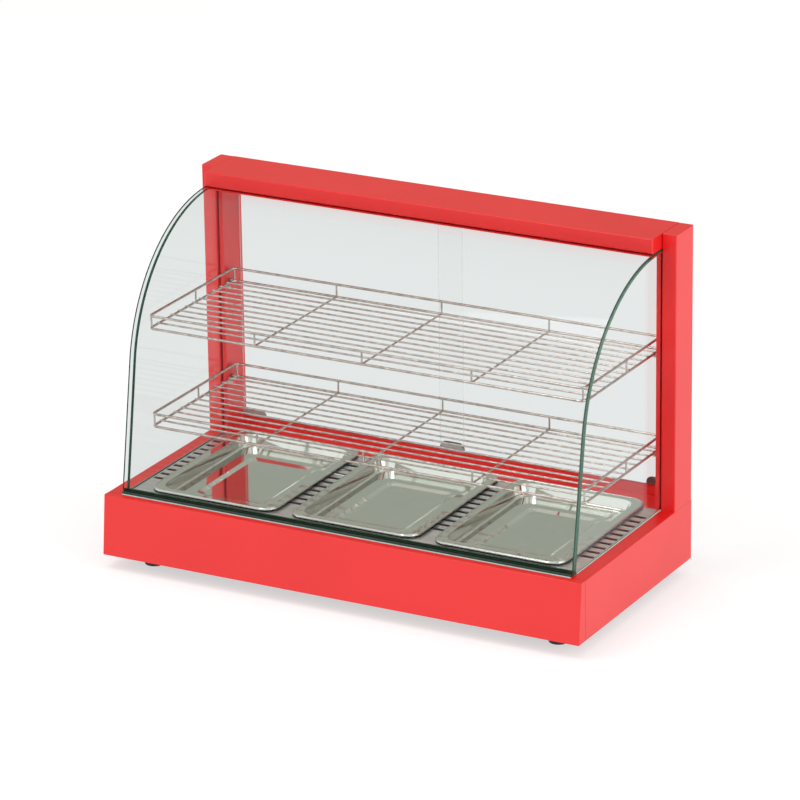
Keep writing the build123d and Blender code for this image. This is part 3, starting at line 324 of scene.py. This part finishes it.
def glass(name, tint, edge, axis, bent=False, ior=GLASS_IOR, ground_share=1.0):
    """Clear pane with ground edges, which lets the light of lamps through.

    The clear faces of a flat pane look along the axis. The ends of a bent pane look along it
    instead, and the curled lip at its foot is green.
    """
    mat, nodes, links, shader = new_material(name)
    smear = object_noise(nodes, links, scale=9.0, detail=3.0)
    tooth = object_noise(nodes, links, scale=260.0, detail=2.0)
    share = face_share(nodes, links, axis)
    if bent:
        ground = math_node(nodes, links, "GREATER_THAN", share, ALONG)
    else:
        ground = math_node(nodes, links, "LESS_THAN", share, ACROSS)
    ground = math_node(nodes, links, "MULTIPLY", ground, ground_share)
    shade = two_tone(nodes, links, tooth, (tuple(EDGE_TOOTH * c for c in edge), edge))
    if bent:
        low = math_node(nodes, links, "LESS_THAN", object_height(nodes, links), LIP_TOP)
        shade = mix_colour(nodes, links, low, shade, LIP_GREEN)
        ground = math_node(nodes, links, "MAXIMUM", ground, low)
    clear = math_node(nodes, links, "SUBTRACT", 1.0, ground)
    links.new(mix_colour(nodes, links, ground, tint, shade), shader.inputs["Base Color"])
    links.new(clear, shader.inputs["Transmission Weight"])
    links.new(span(nodes, links, smear, low=0.0, high=0.012), shader.inputs["Roughness"])
    shader.inputs["IOR"].default_value = ior
    shadow = nodes.new("ShaderNodeBsdfTransparent")
    shadow.inputs["Color"].default_value = (*tint, 1.0)
    path = nodes.new("ShaderNodeLightPath")
    either = nodes.new("ShaderNodeMixShader")
    links.new(path.outputs["Is Shadow Ray"], either.inputs["Fac"])
    links.new(shader.outputs["BSDF"], either.inputs[1])
    links.new(shadow.outputs["BSDF"], either.inputs[2])
    links.new(either.outputs["Shader"], nodes["Material Output"].inputs["Surface"])
    return mat


def dress(material, *nodes):
    """Give CAD nodes their material."""
    for node in nodes:
        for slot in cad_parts[node].material_slots:
            slot.material = material


def add_piece(bm, name, body, material):
    """Object made of a finished mesh, riding on a body."""
    bmesh.ops.recalc_face_normals(bm, faces=bm.faces)
    mesh = bpy.data.meshes.new(name)
    bm.to_mesh(mesh)
    bm.free()
    piece = bpy.data.objects.new(name, mesh)
    bpy.context.collection.objects.link(piece)
    mesh.materials.append(material)
    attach(piece, body)
    return piece


def join_rings(bm, one, two):
    """Band of faces between two rings of as many points."""
    for i in range(len(one)):
        j = (i + 1) % len(one)
        bm.faces.new((one[i], one[j], two[j], two[i]))


def bead(name, profile, ends, axis, material):
    """Strip with one profile along an axis: profile points are across it and up."""
    bm = bmesh.new()
    rings = []
    for end in ends:
        places = [(end, a, z) if axis == "X" else (a, end, z) for a, z in profile]
        rings.append([bm.verts.new(place) for place in places])
    join_rings(bm, *rings)
    for ring in rings:
        bm.faces.new(ring)
    add_piece(bm, name, "cabinet", material)


def seals():
    """Gasket under the curled lip, dark green as painted shade, and thin lines of sealant round the
    glass, pale cyan as a painted highlight along its foot.
    """
    rubber = plastic("gasket_painted_shade", GASKET_SHADE, smooth=0.18, rough=0.3, grain=200.0)
    line = plastic("sealant_painted_highlight", SEALANT_HIGHLIGHT, smooth=0.2, rough=0.3, grain=150.0)
    whole_width = (-GLASS_END, GLASS_END)
    turns = [math.radians(degrees) for degrees in LIP_ANGLES]
    hollow = [(LIP_CENTRE[0] - LIP_CLEAR * math.cos(turn), LIP_CENTRE[1] - LIP_CLEAR * math.sin(turn))
              for turn in turns]
    gasket = GASKET_FRONT + hollow + [(GASKET_REAR, DECK_TOP)]
    bead("front_glazing_gasket_shade", gasket, whole_width, "X", rubber)
    bead("front_sealant_highlight", FRONT_SEALANT, whole_width, "X", line)
    for word, side in (("left", -1), ("right", 1)):
        profile = [(side * x, z) for x, z in SIDE_SEALANT]
        bead(f"side_sealant_highlight_{word}", profile, SIDE_SEALANT_ENDS, "Y", line)


def raised(name, strips, place, rise, body, material):
    """Thin raised marks read from behind: rows of point pairs on a plane, each open or closed."""
    across, up = Vector(SEEN_FROM_BEHIND), Vector(rise)
    out = across.cross(up).normalized()
    bm = bmesh.new()
    for pairs, closed in strips:
        rings = []
        for inner, outer in pairs:
            ring = []
            for (u, v), h in ((inner, 0.0), (outer, 0.0), (outer, MARK_LIFT), (inner, MARK_LIFT)):
                ring.append(bm.verts.new(Vector(place) + u * across + v * up + h * out))
            rings.append(ring)
        for one, two in zip(rings, rings[1:]):
            join_rings(bm, one, two)
        if closed:
            join_rings(bm, rings[-1], rings[0])
        else:
            bm.faces.new(rings[0])
            bm.faces.new(rings[-1])
    add_piece(bm, name, body, material)


def bar(u0, u1, v0, v1):
    """Straight open strip."""
    return [((u0, v0), (u1, v0)), ((u0, v1), (u1, v1))], False


def loop(u, v, inner, outer):
    """Round closed strip with a hole."""
    pairs = []
    for i in range(RING_STEPS):
        turn = 2 * math.pi * i / RING_STEPS
        c, s = math.cos(turn), math.sin(turn)
        pairs.append(((u + inner * c, v + inner * s), (u + outer * c, v + outer * s)))
    return pairs, True


def dial():
    """Scale that widens clockwise round the knob, its off mark, and the knob's white line."""
    ink = plastic("black_ink", BLACK_PLASTIC, smooth=0.4, rough=0.5, grain=500.0)
    band = []
    for i in range(SCALE_STEPS + 1):
        share = i / SCALE_STEPS
        turn = math.radians(SCALE_START + SCALE_SWEEP * share)
        outer = SCALE_R + SCALE_THIN + SCALE_GROWTH * share
        s, c = math.sin(turn), math.cos(turn)
        band.append(((SCALE_R * s, SCALE_R * c), (outer * s, outer * c)))
    tray = (KNOB_X, CONTROL_FLOOR - MARK_SUNK, CONTROL_HEIGHT)
    face = (KNOB_X, KNOB_FACE - MARK_SUNK, CONTROL_HEIGHT)
    scale = [(band, False), loop(*OFF_RING)]
    raised("dial_scale", scale, tray, UPWARD, "cabinet", ink)
    raised("knob_line", [bar(*KNOB_LINE)], face, UPWARD, "knob", white)


def switch_marks():
    """Bar on the upper half of each rocker and ring on the lower one."""
    c, s = math.cos(ROCKER_LEAN), math.sin(ROCKER_LEAN)
    y = ROCKER_WAIST + MARK_SHARE * ROCKER_RISE - MARK_SUNK
    for word, x in SWITCHES:
        for half, side, mark in (("bar", 1, bar(*ON_BAR)), ("ring", -1, loop(*OFF_LOOP))):
            z = side * MARK_SHARE * ROCKER_HALF
            run = side * ROCKER_RISE
            place = (x, PIVOT_Y + y * c - z * s, CONTROL_HEIGHT + y * s + z * c)
            up = Vector((0.0, run * c - ROCKER_HALF * s, run * s + ROCKER_HALF * c)).normalized()
            raised(f"{word}_rocker_{half}", [mark], place, up, f"{word}_rocker", white)


def pan_edges():
    """Fine rolled bead along the rim of each pan."""
    corner = PAN_CORNER - EDGE_IN
    to_corner_x = PAN_HALF_W - PAN_CORNER
    to_corner_y = PAN_HALF_L - PAN_CORNER
    for word, x in PANS:
        bm = bmesh.new()
        rings = []
        for quarter, (side_x, side_y) in enumerate(CORNERS):
            for step in range(CORNER_STEPS + 1):
                turn = math.radians(90.0 * (quarter + step / CORNER_STEPS))
                ring = []
                for i in range(EDGE_SIDES):
                    roll = 2 * math.pi * i / EDGE_SIDES
                    reach = corner + EDGE_R * math.cos(roll)
                    ring.append(bm.verts.new((
                        x + side_x * to_corner_x + reach * math.cos(turn),
                        PAN_MIDDLE_Y + side_y * to_corner_y + reach * math.sin(turn),
                        RIM_TOP - EDGE_SUNK + EDGE_R * math.sin(roll),
                    )))
                rings.append(ring)
        for one, two in zip(rings, rings[1:] + rings[:1]):
            join_rings(bm, one, two)
        piece = add_piece(bm, f"pan_{word}_rolled_edge", f"pan_{word}", polished)
        for face in piece.data.polygons:
            face.use_smooth = True


def floor():
    """Plain pale floor, wide enough to fill every view."""
    bpy.ops.mesh.primitive_plane_add(size=FLOOR_SIZE, location=(0.0, 0.0, -FLOOR_DROP))
    plane = bpy.context.object
    plane.name = "studio_floor"
    mat, nodes, links, shader = new_material("studio_floor")
    tone = object_noise(nodes, links, scale=0.4, detail=1.0)
    links.new(two_tone(nodes, links, tone, FLOOR_GREY), shader.inputs["Base Color"])
    shader.inputs["Roughness"].default_value = 1.0
    shader.inputs["Specular IOR Level"].default_value = 0.0
    shader.inputs["Emission Color"].default_value = (*STUDIO_WHITE, 1.0)
    shader.inputs["Emission Strength"].default_value = FLOOR_GLOW
    # Through the glass the floor shows a calm pale grey, as in the photograph
    through = nodes.new("ShaderNodeEmission")
    through.inputs["Color"].default_value = (*SEEN_THROUGH, 1.0)
    path = nodes.new("ShaderNodeLightPath")
    either = nodes.new("ShaderNodeMixShader")
    links.new(path.outputs["Is Transmission Ray"], either.inputs["Fac"])
    links.new(shader.outputs["BSDF"], either.inputs[1])
    links.new(through.outputs["Emission"], either.inputs[2])
    links.new(either.outputs["Shader"], nodes["Material Output"].inputs["Surface"])
    plane.data.materials.append(mat)


def softbox(name, place, aim, size, power):
    """Large square lamp aimed at a point."""
    lamp = bpy.data.lights.new(name, "AREA")
    lamp.shape = "SQUARE"
    lamp.size = size
    lamp.energy = power
    holder = bpy.data.objects.new(name, lamp)
    bpy.context.collection.objects.link(holder)
    holder.location = place
    holder.rotation_mode = "QUATERNION"
    holder.rotation_quaternion = (Vector(aim) - Vector(place)).to_track_quat("-Z", "Y")


def sky_patch(nodes, links, direction, toward, edge, core):
    """Share of a round patch of the sky, from 0 at its edge to 1 at its core."""
    facing = nodes.new("ShaderNodeVectorMath")
    facing.operation = "DOT_PRODUCT"
    facing.inputs[1].default_value = Vector(toward).normalized()
    links.new(direction, facing.inputs[0])
    reach = nodes.new("ShaderNodeMapRange")
    reach.inputs["From Min"].default_value = edge
    reach.inputs["From Max"].default_value = core
    links.new(facing.outputs["Value"], reach.inputs["Value"])
    return reach.outputs["Result"]


def world_light():
    """White surroundings with two calmer, faintly green patches behind the cabinet."""
    world = bpy.data.worlds.new("studio")
    bpy.context.scene.world = world
    world.use_nodes = True
    nodes, links = world.node_tree.nodes, world.node_tree.links
    direction = nodes.new("ShaderNodeTexCoord").outputs["Generated"]
    left = sky_patch(nodes, links, direction, *LEFT_PATCH)
    right = sky_patch(nodes, links, direction, *RIGHT_PATCH)
    calm = math_node(nodes, links, "MAXIMUM", left, right)
    sky = nodes["Background"]
    links.new(span(nodes, links, calm, SKY_BRIGHT, SKY_DIM), sky.inputs["Strength"])
    links.new(mix_colour(nodes, links, calm, STUDIO_WHITE, STUDIO_GREEN), sky.inputs["Color"])


def photo_camera():
    """Camera at the photograph's place, with its slight roll."""
    azimuth, elevation, roll = map(math.radians, (VIEW_AZIMUTH, VIEW_ELEVATION, VIEW_ROLL))
    back = Vector((
        math.sin(azimuth) * math.cos(elevation),
        -math.cos(azimuth) * math.cos(elevation),
        math.sin(elevation),
    ))
    right = Vector((math.cos(azimuth), math.sin(azimuth), 0.0))
    up = back.cross(right)
    rolled = math.cos(roll) * right + math.sin(roll) * up
    rolled_up = back.cross(rolled)
    data = bpy.data.cameras.new("photo_camera")
    data.sensor_fit = "HORIZONTAL"
    data.sensor_width = SENSOR_MM
    data.lens = LENS_MM
    data.clip_end = VIEW_REACH
    cam = bpy.data.objects.new("photo_camera", data)
    bpy.context.collection.objects.link(cam)
    turn = Matrix((rolled, rolled_up, back)).transposed()
    cam.matrix_world = Matrix.Translation(Vector(VIEW_TARGET) + VIEW_DISTANCE * back) @ turn.to_4x4()
    bpy.context.scene.camera = cam


red = paint("red_powder_coat", RED_PAINT)
satin = metal("satin_steel", STEEL, smooth=0.30, rough=0.42, grain=160.0, stretch=DRAWN_ALONG_X,
              grooves=0.05)
shaded = metal("shaded_steel", SHADED_STEEL, smooth=0.45, rough=0.6, grain=40.0)
polished = pan_metal("polished_steel", POLISHED_STEEL)
wire = metal("bright_wire", WIRE, smooth=0.10, rough=0.18, grain=120.0)
sheath = metal("heater_sheath", HEATER_SHEATH, smooth=0.35, rough=0.5, grain=60.0)
front_pane = glass("front_glass", PANE_TINT, EDGE_DARK, axis=0, bent=True)
left_pane = glass("left_glass", PANE_TINT, EDGE_DARK, axis=0)
# Right pane: edges painted lighter where the key lamp falls
right_pane = glass("right_glass", PANE_TINT, EDGE_LIT, axis=0)
door_pane = glass("door_glass", DOOR_TINT, EDGE_DOOR, axis=1, ior=DOOR_IOR, ground_share=0.3)
shoe = plastic("clear_plastic", CLEAR_PLASTIC, smooth=0.15, rough=0.22, grain=120.0, clear=0.3)
frost = plastic("frosted_plastic", FROSTED_PLASTIC, smooth=0.3, rough=0.4, grain=200.0)
silicone = plastic("silicone", SILICONE, smooth=0.3, rough=0.4, grain=300.0)
white = plastic("white_plastic", WHITE_PLASTIC, smooth=0.35, rough=0.45, grain=300.0)
black = plastic("black_plastic", BLACK_PLASTIC, smooth=0.35, rough=0.5, grain=400.0)
foot_rubber = plastic("foot_rubber", FOOT_RUBBER, smooth=0.6, rough=0.8, grain=250.0)
switch_red = plastic("switch_red", SWITCH_RED, smooth=0.15, rough=0.22, grain=90.0)

dress(red, "front_cover", "side_panel_left", "side_panel_right", "rear_panel", "rear_shelf",
      "door_track_lower", "door_track_upper", "column_left", "column_right", "upright_left",
      "upright_right", "header_cover", "header_base")
dress(satin, "deck", "control_recess", "foot_screws", "rear_screws")
dress(shaded, "base_pan", "heat_shield", "element_saddles", "element_bracket", "shield_spacers")
dress(polished, "pan_left", "pan_centre", "pan_right")
dress(wire, "rack_lower_grid", "rack_lower_guard", "rack_upper_grid", "rack_upper_guard",
      "rack_pegs_left", "rack_pegs_right")
dress(sheath, "element_front", "element_rear", "thermostat_shaft")
dress(front_pane, "front_glass")
dress(left_pane, "side_glass_left")
dress(right_pane, "side_glass_right")
dress(door_pane, "door_left", "door_right")
dress(shoe, "door_left_pulls", "door_right_pulls")
dress(frost, "lamp_lens")
dress(silicone, "front_glass_seal")
dress(white, "lampholders", "terminal_block", "lamp_tube")
dress(black, "thermostat_body", "thermostat_knob", "power_switch_body", "lamp_switch_body",
      "cable_gland", "lamp_rocker")
dress(switch_red, "power_rocker", "pilot_lamp")
dress(foot_rubber, "foot_front_left", "foot_front_right", "foot_rear_left", "foot_rear_right")

seals()
dial()
switch_marks()
pan_edges()
floor()
world_light()
softbox("key_right", place=(3.4, -0.4, 1.1), aim=(0.2, 0.0, 0.25), size=2.4, power=25.0)
softbox("top_fill", place=(-0.6, -1.2, 3.2), aim=(0.0, 0.0, 0.2), size=1.2, power=18.0)
photo_camera()
bpy.context.scene.view_settings.view_transform = "Standard"
